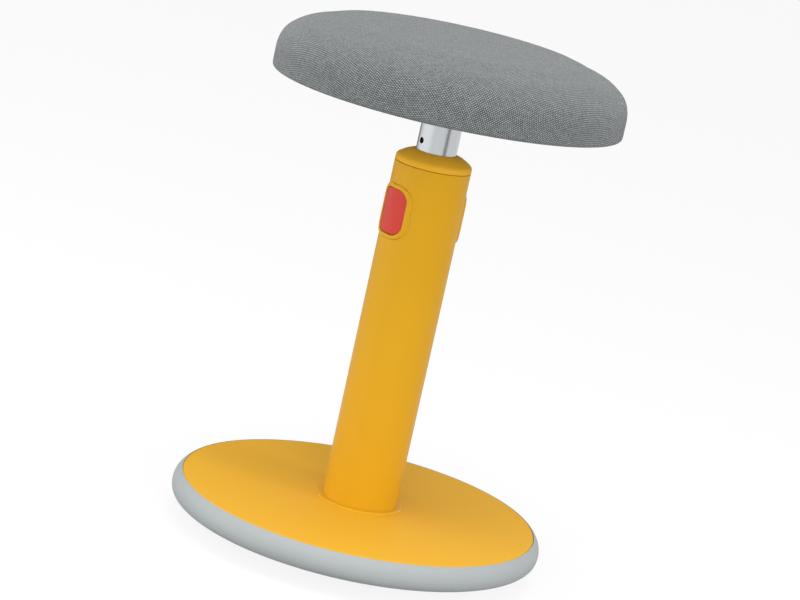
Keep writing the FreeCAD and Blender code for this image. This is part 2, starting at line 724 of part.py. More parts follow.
def seat_outline(inset):
    """Side, shoulder and crown of the seat as edges from the axis to the side's foot."""
    slope = math.radians(SEAT_CROWN_SLOPE)
    side_r = SEAT_RADIUS - inset
    side_top = at(side_r, seat_z + SEAT_SIDE)
    bend = SEAT_SHOULDER - inset
    centre_r = SEAT_RADIUS - SEAT_SHOULDER
    join_r = centre_r + bend * math.sin(slope)
    join_z = seat_z + SEAT_SIDE + bend * math.cos(slope)
    join = at(join_r, join_z)
    crown_z = join_z + join_r * math.tan(slope / 2)
    crown = at(0, crown_z)
    return crown, side_top, [
        tangent_arc(join, at(-math.cos(slope), math.sin(slope)), crown),
        tangent_arc(side_top, at(0, 1), join),
    ]


def make_seat_foam():
    """Crowned pad whose edge wraps down over the edge of the board."""
    inset = COVER_CLOTH + FOAM_GAP
    crown, side_top, edges = seat_outline(inset)
    lip = board_radius + FOAM_GAP
    foot_z = seat_z + inset
    edges += path(
        side_top,
        at(side_top.x, foot_z + COVER_CLOTH),
        at(side_top.x - COVER_CLOTH, foot_z),
        at(lip, foot_z),
        at(lip, board_top_z),
        at(0, board_top_z),
        crown,
    )
    foam = spin(edges)
    pocket_top = max(board_top_z + TEE_FLANGE_THICKNESS, hub_z + HUB_BOLT_LENGTH) + 1
    for x, y in around(HUB_BOLT_COUNT, HUB_BOLT_CIRCLE, 45):
        foam = foam.cut(disc(TEE_FLANGE_RADIUS + FOAM_GAP, board_top_z - 1, pocket_top, x, y))
    return foam


def make_seat_cover():
    """Fabric shell over the foam, turned under the edge into a hem."""
    outer_crown, outer_side, edges = seat_outline(0)
    inner_crown, inner_side, inner_edges = seat_outline(COVER_CLOTH)
    hem_r = SEAT_RADIUS - HEM_WIDTH
    inner_z = seat_z + COVER_CLOTH
    outer_turn = at(outer_side.x, seat_z + SEAT_LOWER_ROUND)
    outer_foot = at(outer_side.x - SEAT_LOWER_ROUND, seat_z)
    bend = SEAT_LOWER_ROUND - COVER_CLOTH
    inner_turn = at(inner_side.x, inner_z + bend)
    inner_foot = at(inner_side.x - bend, inner_z)
    edges += inner_edges
    edges += path(outer_side, outer_turn)
    edges.append(tangent_arc(outer_turn, at(0, -1), outer_foot))
    edges += path(outer_foot, at(hem_r, seat_z), at(hem_r, inner_z), inner_foot)
    edges.append(tangent_arc(inner_turn, at(0, -1), inner_foot))
    edges += path(inner_turn, inner_side)
    edges += path(inner_crown, outer_crown)
    return spin(edges)


def main():
    os.makedirs("parts", exist_ok=True)
    save("base_sole", make_base_sole())
    save("base_core", make_base_core())
    save("ballast_plate", make_ballast_plate())
    save("base_cover", make_base_cover())
    save("cover_screws", make_cover_screws())
    save("column_bolts", make_column_bolts())
    save("foot_collar", make_foot_collar())
    save("column_tube", make_column_tube())
    save("column_cap", make_column_cap())
    save("upper_guide_bush", make_upper_guide_bush())
    save("lock_housing", make_lock_housing())

    button = make_button()
    bezel = make_bezel()
    plate_screw = make_plate_screw()
    spring = make_spring()
    save("right_bezel", bezel)
    save("left_bezel", mirrored(bezel))
    save("right_button", button)
    save("left_button", mirrored(button))
    save("right_lock_plate", make_lock_plate(right_plate_z))
    save("left_lock_plate", mirrored(make_lock_plate(left_plate_z)))
    save("right_plate_screw", plate_screw)
    save("left_plate_screw", mirrored(plate_screw))
    save("right_spring", spring)
    save("left_spring", mirrored(spring))

    save("seat_post", make_seat_post())
    save("lower_glide_bush", make_lower_glide_bush())
    save("bush_rivets", make_bush_rivets())
    save("seat_hub", make_seat_hub())
    save("hub_cross_pin", make_hub_cross_pin())
    save("hub_bolts", make_hub_bolts())
    save("board_tee_nuts", make_board_tee_nuts())
    save("seat_board", make_seat_board())
    save("seat_dust_cover", make_seat_dust_cover())
    save("seat_foam", make_seat_foam())
    save("seat_cover", make_seat_cover())


main()
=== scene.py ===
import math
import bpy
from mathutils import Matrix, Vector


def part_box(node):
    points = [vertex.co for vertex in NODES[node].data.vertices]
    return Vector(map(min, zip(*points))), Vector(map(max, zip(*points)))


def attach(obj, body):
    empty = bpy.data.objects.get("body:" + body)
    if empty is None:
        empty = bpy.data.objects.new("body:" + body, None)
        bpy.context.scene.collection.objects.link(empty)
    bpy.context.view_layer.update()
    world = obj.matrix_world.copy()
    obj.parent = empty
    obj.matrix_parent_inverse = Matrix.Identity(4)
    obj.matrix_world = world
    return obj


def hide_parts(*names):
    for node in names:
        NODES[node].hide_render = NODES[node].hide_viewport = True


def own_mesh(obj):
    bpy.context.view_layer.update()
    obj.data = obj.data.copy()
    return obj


bl_info = {
    "name": "Wobble stool",
    "version": (1, 0, 0),
    "blender": (4, 5, 0),
    "location": "View3D > Sidebar > Stool",
    "description": "Finishes and soft parts of a wobble stool, around its packed model",
    "category": "Object",
}

import bpy
from bpy.props import FloatProperty, FloatVectorProperty, IntProperty, PointerProperty
from mathutils import Matrix, Vector

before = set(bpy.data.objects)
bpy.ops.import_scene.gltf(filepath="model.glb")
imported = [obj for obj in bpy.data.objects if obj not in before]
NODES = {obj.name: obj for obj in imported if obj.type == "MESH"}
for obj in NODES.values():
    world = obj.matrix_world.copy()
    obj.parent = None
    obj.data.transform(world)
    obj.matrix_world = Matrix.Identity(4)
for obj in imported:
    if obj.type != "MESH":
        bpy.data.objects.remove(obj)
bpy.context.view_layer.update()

# Places and sizes that come from the frame, in metres
COVER_LOW, COVER_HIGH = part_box("seat_cover")
SEAT_RADIUS = COVER_HIGH[0]
SEAT_FOOT = COVER_LOW[2]
SEAT_TOP = COVER_HIGH[2]

MM = 0.001
WHITE = (1.0, 1.0, 1.0)

# Rings of faces along the cushion's outline
HEM_RINGS = 5
FOOT_RINGS = 4
SIDE_RINGS = 4
SHOULDER_RINGS = 14
CROWN_RINGS = 26

# How the foam fills the cloth
INSET_SHARE = 0.15  # of the swell: the outline starts this far inside the finished seat
HELD_SHARE = 0.7  # of the straight side: the cloth up to there stays where it is
CLOTH_PRESSURE = 4.0
CLOTH_STIFFNESS = 40
CLOTH_QUALITY = 6
CLOTH_FRAMES = 20

# Gathers of the hem
GATHER_SPREAD = 0.3  # half of what the lowest gather is short of the highest, as a share of it
GATHER_BEAT = 3 / 20  # of a gather's own turn: how fast their height changes round the seat

# Staples of the hem
STAPLE_SIZE = (10 * MM, 1.1 * MM, 2.2 * MM)
STAPLE_EDGE = 0.3 * MM
STAPLE_INSET = 6 * MM  # from the hem's inner edge out to the staples' middle
STAPLE_RISE = 0.35 * MM  # from the seat's foot up to the staples' middle
STAPLE_LEAN = math.radians(9)  # most that a staple is out of line
STAPLE_BEAT = 2.4  # radians of the lean's sine from one staple to the next

# Faces round the wire of a spring, and along one turn of it
WIRE_SIDES = 12
COIL_STEPS = 32

# Mesh weave
THREAD_DRIFT = (0.6 * MM, 0.5 * MM, 0)  # most that the threads wander off their rows
STREAK_SCALE = (10, 160, 0)  # streaks in a metre along the rows, and across them
PORE_HEIGHT = 0.16  # of a thread's height: lower than this is pore
PORE_SPREAD = 0.12  # how much that height differs from thread to thread
THREAD_EDGE = 2.6  # how sharply a thread stands out from its pores
THREAD_ROUND = 0.6  # exponent that fills the threads' tops out
THREAD_ROUGHNESS = 0.85
PORE_ROUGHNESS = 0.95

# Depth of a surface's relief, as a share of its grain, line or thread
GRAIN_RELIEF = 1 / 6
LINE_RELIEF = 1 / 4
WEAVE_RELIEF = 1 / 5

# Drawn metal
LINE_STRETCH = (1, 1, 0.02)  # scale of the pattern, which runs 50 times as long on Z
LINE_TONE = 0.10  # how much lighter or darker one line is than another

# Stage
SENSOR_WIDTH = 36.0
SOFTBOXES = (
    # name, width and height, place to the right of, beyond and above the stool's middle as the
    # camera sees it, all in metres, and whether metal mirrors it; the sheen stands just in front
    # of the key
    ("key", (3.0, 2.2), (-2.0, -0.55, 0.45), False),
    ("sheen", (3.0, 2.2), (-1.92, -0.528, 0.432), True),
    ("rim", (0.5, 1.4), (2.0, -0.9, 0.45), False),
    ("top", (1.8, 1.8), (0.0, -0.8, 2.4), True),
    ("front", (1.6, 1.0), (0.0, -2.6, 0.75), False),
)
DARK_CARDS = (
    # name, place to the right of and beyond the stool as the camera sees it, width, all in metres
    ("card_right", 0.89, -0.80, 0.36),
    ("card_left", -0.51, 1.20, 1.05),
)
CARD_HEIGHT = 1.6
CARD_MIDDLE = 0.55
CARD_GREY = (0.28, 0.28, 0.28)
FLOOR_SIZE = 14.0
FLOOR_DROP = 0.2 * MM  # under the sole, so that the two don't show through each other
FLOOR_GREY = (0.4, 0.4, 0.4)
FLOOR_GLOW = 0.88  # share of white that the shadow can't darken


# Settings a user would change


class StoolSeatSettings(bpy.types.PropertyGroup):
    """Shape and cloth of the seat."""

    side: FloatProperty(
        name="Straight side",
        description="Height of the upright part of the seat's side",
        default=18.5 * MM,
        unit="LENGTH",
    )
    shoulder: FloatProperty(
        name="Shoulder radius",
        description="Radius of the rounded upper edge",
        default=37 * MM,
        unit="LENGTH",
    )
    foot_round: FloatProperty(
        name="Lower edge radius",
        description="Radius of the edge where the cloth turns under",
        default=3 * MM,
        unit="LENGTH",
    )
    hem_width: FloatProperty(
        name="Hem width",
        description="How far the cloth reaches in under the board",
        default=22 * MM,
        unit="LENGTH",
    )
    cloth: FloatProperty(
        name="Cloth thickness", description="Thickness of the weave", default=1.2 * MM, unit="LENGTH"
    )
    swell: FloatProperty(
        name="Swell",
        description="Most that the foam may push the cloth out",
        default=2.5 * MM,
        unit="LENGTH",
    )
    slack: FloatProperty(
        name="Slack",
        description="Share of the cloth's unevenness that is left, from 0, taut, to 1",
        default=0.15,
        min=0.0,
        max=1.0,
    )
    pitch: FloatProperty(
        name="Thread pitch", description="Distance between threads", default=2.6 * MM, unit="LENGTH"
    )
    lay_turn: FloatProperty(
        name="Lay of the cloth",
        description="Direction of the weave's rows, from +X",
        default=math.radians(-34),
        subtype="ANGLE",
    )
    light_thread: FloatVectorProperty(
        name="Light thread",
        description="Colour of the raised threads",
        subtype="COLOR",
        default=(0.245, 0.263, 0.267),
    )
    dark_thread: FloatVectorProperty(
        name="Dark thread",
        description="Colour down in the pores",
        subtype="COLOR",
        default=(0.035, 0.04, 0.042),
    )
    gathers: IntProperty(
        name="Gathers", description="Small folds of the cloth under the seat", default=48, min=0, max=120
    )
    gather_depth: FloatProperty(
        name="Gather depth", description="Height of those folds", default=0.7 * MM, unit="LENGTH"
    )
    staples: IntProperty(
        name="Staples", description="Staples that hold the hem", default=44, min=4, max=120
    )
    segments: IntProperty(
        name="Segments", description="Faces round the seat", default=96, min=24, max=300
    )


class StoolFinishSettings(bpy.types.PropertyGroup):
    """Colours of the hard parts."""

    yellow: FloatVectorProperty(
        name="Yellow", description="Moulded column", subtype="COLOR", default=(0.69, 0.36, 0.012)
    )
    # Painted light: the same plastic as the yellow, given a lighter colour to make up for the shade that
    # the seat casts on the disc and the cap
    matt_painted_light_yellow: FloatVectorProperty(
        name="Matt yellow",
        description="Textured disc and cap",
        subtype="COLOR",
        default=(0.80, 0.425, 0.03),
    )
    red: FloatVectorProperty(
        name="Red", description="Moulded buttons", subtype="COLOR", default=(0.60, 0.048, 0.032)
    )
    spring_wire: FloatProperty(
        name="Spring wire", description="Diameter of the springs' wire", default=0.9 * MM, unit="LENGTH"
    )
    spring_turns: IntProperty(
        name="Spring turns", description="Turns of each spring", default=5, min=2, max=12
    )
    rubber: FloatVectorProperty(
        name="Rubber", description="Sole and rim", subtype="COLOR", default=(0.375, 0.40, 0.405)
    )
    aluminium: FloatVectorProperty(
        name="Aluminium", description="Seat post", subtype="COLOR", default=(0.55, 0.57, 0.585)
    )


class StoolStageSettings(bpy.types.PropertyGroup):
    """Camera, lamps and backdrop."""

    lens: FloatProperty(name="Lens", description="Focal length in millimetres", default=125.9)
    turn: FloatProperty(
        name="View turn",
        description="Direction of view, clockwise from +Y",
        default=math.radians(36.93),
        subtype="ANGLE",
    )
    tilt: FloatProperty(
        name="View tilt",
        description="How far the camera looks down",
        default=math.radians(12.65),
        subtype="ANGLE",
    )
    roll: FloatProperty(
        name="Camera roll",
        description="Roll that makes the stool lean to the right",
        default=math.radians(12.48),
        subtype="ANGLE",
    )
    place: FloatVectorProperty(
        name="Camera place",
        description="Where the camera stands",
        default=(-1.5990, -2.1221, 0.8464),
        subtype="TRANSLATION",
    )
    fill: FloatProperty(name="Fill", description="Strength of the light from all round", default=0.50)
    key: FloatProperty(name="Key", description="Power of the softbox on the left", default=22.0)
    sheen: FloatProperty(name="Sheen", description="Power of the part of it that metal shows", default=9.0)
    top: FloatProperty(name="Top", description="Power of the softbox overhead", default=35.0)
    rim: FloatProperty(name="Rim", description="Power of the softbox on the right", default=16.0)
    front: FloatProperty(name="Front", description="Power of the softbox in front", default=23.0)


# Mesh helpers


def deselect():
    if bpy.context.object and bpy.context.object.mode != "OBJECT":
        bpy.ops.object.mode_set(mode="OBJECT")
    bpy.ops.object.select_all(action="DESELECT")


def pick(piece):
    deselect()
    piece.select_set(True)
    bpy.context.view_layer.objects.active = piece
    return piece


def turned(name, outline, segments):
    """Surface of revolution: a circle is extruded and resized through an outline of (radius, height)."""
    deselect()
    radius, height = outline[0]
    bpy.ops.mesh.primitive_circle_add(
        vertices=segments, radius=radius, fill_type="NOTHING", location=(0, 0, height)
    )
    piece = bpy.context.object
    piece.name = name
    bpy.ops.object.transform_apply(location=True, rotation=True, scale=True)
    bpy.ops.object.mode_set(mode="EDIT")
    bpy.ops.mesh.select_all(action="SELECT")
    for (r0, z0), (r1, z1) in zip(outline, outline[1:]):
        ratio = r1 / r0
        bpy.ops.mesh.extrude_edges_move(TRANSFORM_OT_translate={"value": (0, 0, z1 - z0)})
        bpy.ops.transform.resize(
            value=(ratio, ratio, 1), center_override=(0, 0, z1), orient_type="GLOBAL"
        )
    bpy.ops.object.mode_set(mode="OBJECT")
    return piece


def close_tip():
    """Fills the last ring, which is still selected, with a fan to its middle."""
    bpy.ops.object.mode_set(mode="EDIT")
    bpy.ops.mesh.edge_face_add()
    bpy.ops.mesh.poke()
    bpy.ops.object.mode_set(mode="OBJECT")


def outward(piece):
    pick(piece)
    bpy.ops.object.mode_set(mode="EDIT")
    bpy.ops.mesh.select_all(action="SELECT")
    bpy.ops.mesh.normals_make_consistent(inside=False)
    bpy.ops.object.mode_set(mode="OBJECT")


def add_modifier(piece, kind, **values):
    modifier = piece.modifiers.new(kind.title(), kind)
    for key, value in values.items():
        setattr(modifier, key, value)
    return modifier


def apply_modifier(piece, modifier):
    pick(piece)
    bpy.ops.object.modifier_apply(modifier=modifier.name)


def smooth(piece, angle=40):
    pick(piece)
    bpy.ops.object.shade_smooth_by_angle(angle=math.radians(angle))


def put(piece, matrix):
    """Moves, turns and scales a piece, and keeps that in its mesh."""
    pick(piece)
    piece.matrix_world = matrix
    bpy.ops.object.transform_apply(location=True, rotation=True, scale=True)


def own_copy(piece, name):
    """Copy that has its own mesh."""
    copy = piece.copy()
    copy.data = piece.data.copy()
    copy.name = name
    bpy.context.collection.objects.link(copy)
    return copy


def arc_points(start, centre, sweep, steps):
    """Points after start on an arc about centre, both (radius, height), turned by sweep radians."""
    points = []
    dr, dz = start[0] - centre[0], start[1] - centre[1]
    for k in range(1, steps + 1):
        a = sweep * k / steps
        points.append(
            (
                centre[0] + dr * math.cos(a) - dz * math.sin(a),
                centre[1] + dr * math.sin(a) + dz * math.cos(a),
            )
        )
    return points


# Node helpers


def new_material(name):
    material = bpy.data.materials.new(name)
    material.use_nodes = True
    tree = material.node_tree
    return material, tree, tree.nodes["Principled BSDF"]


def feed(tree, value, socket):
    """Links an output to a socket, or sets the socket to a plain value."""
    if isinstance(value, bpy.types.NodeSocket):
        tree.links.new(value, socket)
    elif socket.type == "RGBA":
        socket.default_value = (*value[:3], 1)
    else:
        socket.default_value = value


def add_node(tree, kind, **values):
    """New node; a value goes to the socket of its name, or else is a setting of the node."""
    node = tree.nodes.new(kind)
    for key, value in values.items():
        if key in node.inputs:
            feed(tree, value, node.inputs[key])
        else:
            setattr(node, key, value)
    return node


def math_node(tree, operation, *values):
    node = add_node(tree, "ShaderNodeMath", operation=operation)
    for socket, value in zip(node.inputs, values):
        feed(tree, value, socket)
    return node.outputs[0]


def vector_node(tree, operation, *values):
    node = add_node(tree, "ShaderNodeVectorMath", operation=operation)
    for socket, value in zip(node.inputs, values):
        feed(tree, value, socket)
    return node.outputs[0]


def centred(tree, value):
    """Turns a value from 0 to 1 into one from -0.5 to 0.5."""
    return math_node(tree, "SUBTRACT", value, 0.5)


def scaled_colour(tree, colour, gain):
    node = add_node(tree, "ShaderNodeVectorMath", operation="SCALE")
    feed(tree, colour, node.inputs[0])
    feed(tree, gain, node.inputs["Scale"])
    return node.outputs[0]


def mix_colour(tree, factor, first, second):
    node = add_node(tree, "ShaderNodeMix", data_type="RGBA")
    sockets = (node.inputs[0], node.inputs[6], node.inputs[7])
    for socket, value in zip(sockets, (factor, first, second)):
        feed(tree, value, socket)
    return node.outputs[2]


def new_effect(name, inputs):
    """Group with the given inputs; each effect puts out a colour, a roughness and a height."""
    group = bpy.data.node_groups.new(name, "ShaderNodeTree")
    for label, kind, value in inputs:
        socket = group.interface.new_socket(name=label, in_out="INPUT", socket_type="NodeSocket" + kind)
        if value is not None:
            socket.default_value = value
    for label, kind in (("Colour", "Color"), ("Roughness", "Float"), ("Height", "Float")):
        group.interface.new_socket(name=label, in_out="OUTPUT", socket_type="NodeSocket" + kind)
    return group, group.nodes.new("NodeGroupInput").outputs


def close_effect(group, colour, roughness, height):
    leave = group.nodes.new("NodeGroupOutput")
    for label, value in (("Colour", colour), ("Roughness", roughness), ("Height", height)):
        group.links.new(value, leave.inputs[label])


def use_effect(tree, name, **values):
    """Places an effect; a value goes to the input it names, as grain_size does to Grain size."""
    node = add_node(tree, "ShaderNodeGroup", node_tree=bpy.data.node_groups[name])
    for key, value in values.items():
        feed(tree, value, node.inputs[key.replace("_", " ").capitalize()])
    return node


def finish_material(tree, shader, effect, strength, depth):
    """Joins an effect's colour, roughness and height to the shader."""
    tree.links.new(effect.outputs["Colour"], shader.inputs["Base Color"])
    tree.links.new(effect.outputs["Roughness"], shader.inputs["Roughness"])
    relief = add_node(
        tree, "ShaderNodeBump", Strength=strength, Distance=depth, Height=effect.outputs["Height"]
    )
    tree.links.new(relief.outputs["Normal"], shader.inputs["Normal"])


# Shared effects


def moulded_surface():
    """Fine spark-eroded grain and slight unevenness of colour, for moulded plastic and rubber."""
    group, enter = new_effect(
        "Moulded surface",
        [
            ("Colour", "Color", (0.8, 0.8, 0.8, 1)),
            ("Grain size", "Float", 0.7 * MM),
            ("Mottle", "Float", 0.03),
            ("Roughness", "Float", 0.4),
            ("Roughness spread", "Float", 0.06),
        ],
    )
    place = group.nodes.new("ShaderNodeTexCoord").outputs["Object"]
    scale = math_node(group, "DIVIDE", 1.0, enter["Grain size"])
    grain = add_node(
        group, "ShaderNodeTexNoise", Vector=place, Scale=scale, Detail=3.0, Roughness=0.6
    ).outputs["Fac"]
    cloud = add_node(
        group, "ShaderNodeTexNoise", Vector=place, Scale=14.0, Detail=4.0, Roughness=0.55
    ).outputs["Fac"]
    fleck_share = 1.6  # flecks of grain show this much more than the clouds do
    flecks = math_node(group, "MULTIPLY", enter["Mottle"], fleck_share)
    shift = centred(group, cloud)
    gain = math_node(group, "MULTIPLY_ADD", shift, enter["Mottle"], 1.0)
    gain = math_node(group, "MULTIPLY_ADD", centred(group, grain), flecks, gain)
    rough = math_node(group, "MULTIPLY_ADD", shift, enter["Roughness spread"], enter["Roughness"])
    close_effect(group, scaled_colour(group, enter["Colour"], gain), rough, grain)


def mesh_weave():
    """Open mesh weave: raised dashes laid like bricks, with dark pores between them."""
    group, enter = new_effect(
        "Mesh weave",
        [
            ("Vector", "Vector", None),
            ("Pitch", "Float", 2.6 * MM),
            ("Row share", "Float", 0.62),
            ("Light thread", "Color", (0.5, 0.5, 0.5, 1)),
            ("Dark thread", "Color", (0.1, 0.1, 0.1, 1)),
            ("Melange", "Float", 0.2),
            ("Streak", "Float", 0.05),
        ],
    )
    lay, pitch = enter["Vector"], enter["Pitch"]

    # Where a point lies, counted in dashes along a row and in rows across
    wobble = add_node(group, "ShaderNodeTexNoise", Vector=lay, Scale=70.0, Detail=2.0)
    drifted = vector_node(group, "MULTIPLY_ADD", wobble.outputs["Color"], THREAD_DRIFT, lay)
    split = add_node(group, "ShaderNodeSeparateXYZ", Vector=drifted)
    row_height = math_node(group, "MULTIPLY", pitch, enter["Row share"])
    down = math_node(group, "DIVIDE", split.outputs[1], row_height)
    row = math_node(group, "FLOOR", down)
    stagger = math_node(group, "MULTIPLY", math_node(group, "FLOORED_MODULO", row, 2.0), 0.5)
    along = math_node(group, "ADD", math_node(group, "DIVIDE", split.outputs[0], pitch), stagger)

    # A dash is round both ways
    bumps = []
    for count in (along, down):
        part = centred(group, math_node(group, "FRACT", count))
        bumps.append(math_node(group, "COSINE", math_node(group, "MULTIPLY", part, math.pi)))
    knuckle = math_node(group, "MULTIPLY", *bumps)

    # Each dash has its own tone and size, and the rows have faint streaks
    cell = group.nodes.new("ShaderNodeCombineXYZ")
    feed(group, math_node(group, "FLOOR", along), cell.inputs[0])
    feed(group, row, cell.inputs[1])
    chance = add_node(
        group, "ShaderNodeTexWhiteNoise", noise_dimensions="2D", Vector=cell.outputs[0]
    )
    fuzz = centred(group, chance.outputs["Value"])
    stretched = vector_node(group, "MULTIPLY", lay, STREAK_SCALE)
    streaks = add_node(group, "ShaderNodeTexNoise", Vector=stretched, Scale=1.0, Detail=2.0)
    streak = centred(group, streaks.outputs["Fac"])

    edge = math_node(group, "SUBTRACT", knuckle, PORE_HEIGHT)
    edge = math_node(group, "MULTIPLY_ADD", fuzz, PORE_SPREAD, edge)
    edge = math_node(group, "MULTIPLY", edge, THREAD_EDGE)
    thread = math_node(group, "MINIMUM", math_node(group, "MAXIMUM", edge, 0.0), 1.0)
    colour = mix_colour(group, thread, enter["Dark thread"], enter["Light thread"])
    gain = math_node(group, "MULTIPLY_ADD", fuzz, enter["Melange"], 1.0)
    gain = math_node(group, "MULTIPLY_ADD", streak, enter["Streak"], gain)
    change = THREAD_ROUGHNESS - PORE_ROUGHNESS
    rough = math_node(group, "MULTIPLY_ADD", thread, change, PORE_ROUGHNESS)
    height = math_node(group, "POWER", knuckle, THREAD_ROUND)
    close_effect(group, scaled_colour(group, colour, gain), rough, height)


def drawn_metal():
    """Fine lines along Z, as drawing leaves them on a tube."""
    group, enter = new_effect(
        "Drawn metal",
        [
            ("Colour", "Color", (0.8, 0.8, 0.8, 1)),
            ("Line width", "Float", 0.4 * MM),
            ("Roughness", "Float", 0.3),
            ("Roughness spread", "Float", 0.1),
        ],
    )
    place = group.nodes.new("ShaderNodeTexCoord").outputs["Object"]
    stretch = add_node(group, "ShaderNodeMapping", Vector=place, Scale=LINE_STRETCH)
    scale = math_node(group, "DIVIDE", 1.0, enter["Line width"])
    lines = add_node(
        group, "ShaderNodeTexNoise", Vector=stretch.outputs[0], Scale=scale, Detail=3.0, Roughness=0.65
    ).outputs["Fac"]
    shift = centred(group, lines)
    gain = math_node(group, "MULTIPLY_ADD", shift, LINE_TONE, 1.0)
    rough = math_node(group, "MULTIPLY_ADD", shift, enter["Roughness spread"], enter["Roughness"])
    close_effect(group, scaled_colour(group, enter["Colour"], gain), rough, lines)


# Materials


def moulded_material(name, colour, roughness, grain, mottle=0.03, bump=0.12, gloss=0.3, metallic=0.0):
    material, tree, shader = new_material(name)
    shader.inputs["Specular IOR Level"].default_value = gloss
    shader.inputs["Metallic"].default_value = metallic
    effect = use_effect(
        tree, "Moulded surface", colour=colour, grain_size=grain, mottle=mottle, roughness=roughness
    )
    finish_material(tree, shader, effect, strength=bump, depth=grain * GRAIN_RELIEF)
    return material


def metal_material(name, colour, roughness, line):
    material, tree, shader = new_material(name)
    shader.inputs["Metallic"].default_value = 1.0
    effect = use_effect(tree, "Drawn metal", colour=colour, line_width=line, roughness=roughness)
    finish_material(tree, shader, effect, strength=0.08, depth=line * LINE_RELIEF)
    return material


def weave_material(seat):
    material, tree, shader = new_material("grey_weave")
    shader.inputs["Sheen Weight"].default_value = 0.25
    shader.inputs["Sheen Roughness"].default_value = 0.5
    shader.inputs["Specular IOR Level"].default_value = 0.2
    lay = add_node(tree, "ShaderNodeUVMap", uv_map="Lay")
    effect = use_effect(
        tree,
        "Mesh weave",
        vector=lay.outputs["UV"],
        pitch=seat.pitch,
        light_thread=seat.light_thread,
        dark_thread=seat.dark_thread,
    )
    finish_material(tree, shader, effect, strength=0.6, depth=seat.pitch * WEAVE_RELIEF)
    return material


def plywood_material():
    material, tree, shader = new_material("plywood")
    place = tree.nodes.new("ShaderNodeTexCoord").outputs["Object"]
    plies = add_node(
        tree,
        "ShaderNodeTexWave",
        bands_direction="Z",
        Vector=place,
        Scale=330.0,
        Distortion=1.5,
        Detail=2.0,
    ).outputs["Fac"]
    colour = mix_colour(tree, plies, (0.50, 0.33, 0.18), (0.66, 0.48, 0.29))
    tree.links.new(colour, shader.inputs["Base Color"])
    rough = math_node(tree, "MULTIPLY_ADD", plies, 0.1, 0.6)
    tree.links.new(rough, shader.inputs["Roughness"])
    return material


# Pieces


class STOOL_OT_finishes(bpy.types.Operator):
    """Build the shared effects and paint every solid of the frame"""

    bl_idname = "stool.finishes"
    bl_label = "Finishes"

    def execute(self, context):
        finish = context.scene.stool_finish
        moulded_surface()
        mesh_weave()
        drawn_metal()
        yellow = moulded_material(
            "yellow_plastic", finish.yellow, roughness=0.46, grain=0.8 * MM, gloss=0.2
        )
        # The disc and cap get a lighter copy of the yellow, which is painted light against the seat's
        # shade; their coarser grain and lower gloss make a real matt finish
        matt_painted_light_yellow = moulded_material(
            "matt_yellow_plastic", finish.matt_painted_light_yellow, roughness=0.6, grain=1.0 * MM, gloss=0.1
        )
        red = moulded_material(
            "red_plastic", finish.red, roughness=0.4, grain=0.7 * MM, mottle=0.06, gloss=0.25
        )
        rubber = moulded_material(
            "grey_rubber", finish.rubber, roughness=0.6, grain=0.9 * MM, mottle=0.05, bump=0.2
        )
        black = moulded_material(
            "black_nylon", (0.02, 0.02, 0.022), roughness=0.55, grain=0.6 * MM, mottle=0.1
        )
        acetal = moulded_material("white_acetal", (0.78, 0.78, 0.75), roughness=0.45, grain=0.9 * MM)
        felt = moulded_material(
            "black_felt", (0.03, 0.03, 0.032), roughness=0.95, grain=0.5 * MM, mottle=0.5, bump=0.5
        )
        cast = moulded_material(
            "cast_aluminium",
            (0.56, 0.57, 0.58),
            roughness=0.45,
            grain=1.2 * MM,
            mottle=0.08,
            bump=0.3,
            metallic=1.0,
        )
        satin = metal_material("satin_aluminium", finish.aluminium, roughness=0.25, line=0.5 * MM)
        zinc = metal_material("zinc_steel", (0.60, 0.61, 0.62), roughness=0.35, line=0.5 * MM)
        steel = metal_material("raw_steel", (0.42, 0.43, 0.44), roughness=0.4, line=0.6 * MM)
        paint = {
            "base_sole": rubber,
            "base_core": black,
            "base_cover": matt_painted_light_yellow,
            "ballast_plate": steel,
            "foot_collar": yellow,
            "column_tube": yellow,
            "column_cap": matt_painted_light_yellow,
            "left_bezel": yellow,
            "right_bezel": yellow,
            "left_button": red,
            "right_button": red,
            "left_lock_plate": steel,
            "right_lock_plate": steel,
            "lock_housing": black,
            "upper_guide_bush": acetal,
            "lower_glide_bush": acetal,
            "seat_post": satin,
            "seat_hub": cast,
            "seat_board": plywood_material(),
            "seat_dust_cover": felt,
        }
        for node, piece in NODES.items():
            for slot in piece.material_slots:
                slot.material = paint.get(node, zinc)
        return {"FINISHED"}


def crown_slope(seat):
    """Slope where the crown meets the shoulder, from the height that is left for the crown."""
    left = SEAT_TOP - SEAT_FOOT - seat.side
    centre_r = SEAT_RADIUS - seat.shoulder
    low, high = math.radians(1), math.radians(30)
    halvings = 40
    for _ in range(halvings):
        slope = (low + high) / 2
        join_r = centre_r + seat.shoulder * math.sin(slope)
        height = seat.shoulder * math.cos(slope) + join_r * math.tan(slope / 2)
        if height < left:
            low = slope
        else:
            high = slope
    return slope


